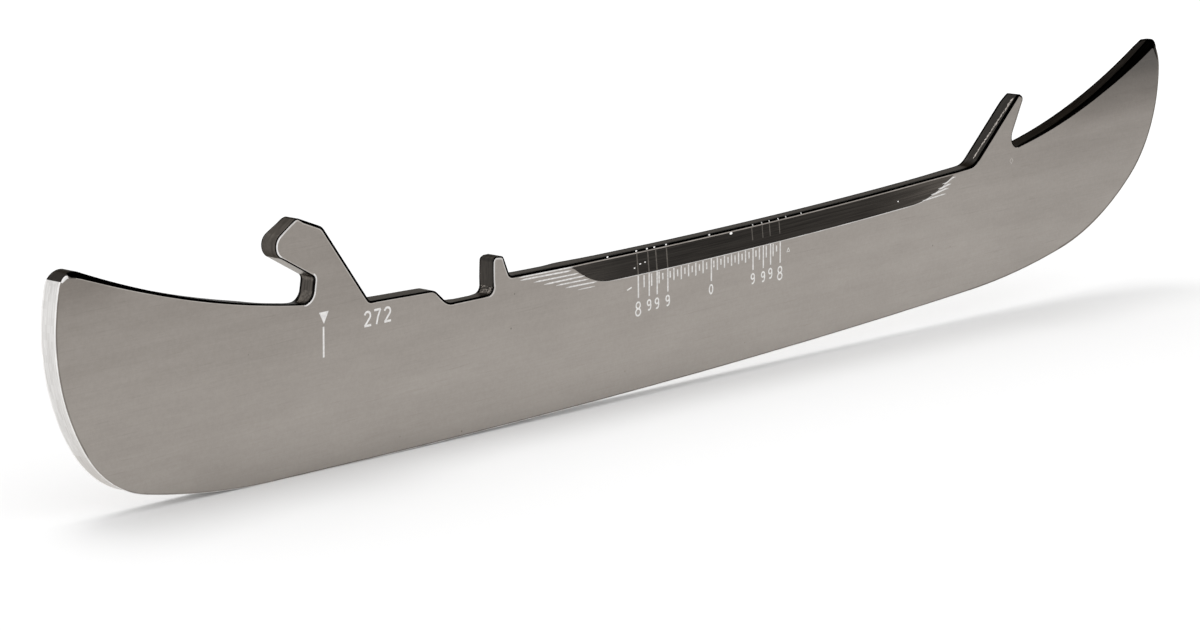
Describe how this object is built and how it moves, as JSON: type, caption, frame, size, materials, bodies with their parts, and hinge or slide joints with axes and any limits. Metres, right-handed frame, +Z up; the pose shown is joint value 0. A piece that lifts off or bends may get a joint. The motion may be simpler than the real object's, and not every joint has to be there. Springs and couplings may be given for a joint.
{
  "type": "hockey skate runner",
  "caption": "Flat steel runner for an ice hockey skate, with a rockered, hollow-ground ice edge, a rear hook, a latch seat and a toe post that hold it in the skate's holder.",
  "frame": {"origin": "under the middle of the blade's length and thickness, at the height of its lowest point on the ice", "axes": "+X towards the toe, +Y across the thickness, +Z up, away from the ice"},
  "size_m": [0.272, 0.003, 0.0403],
  "materials": {
    "steel": "satin flat-ground stainless steel with fine lengthwise grinding marks; the ice edge is ground brighter, and the relief and the sheared top edges are darker"
  },
  "bodies": {
    "root": {"runner": "steel"}
  },
  "joints": []
}
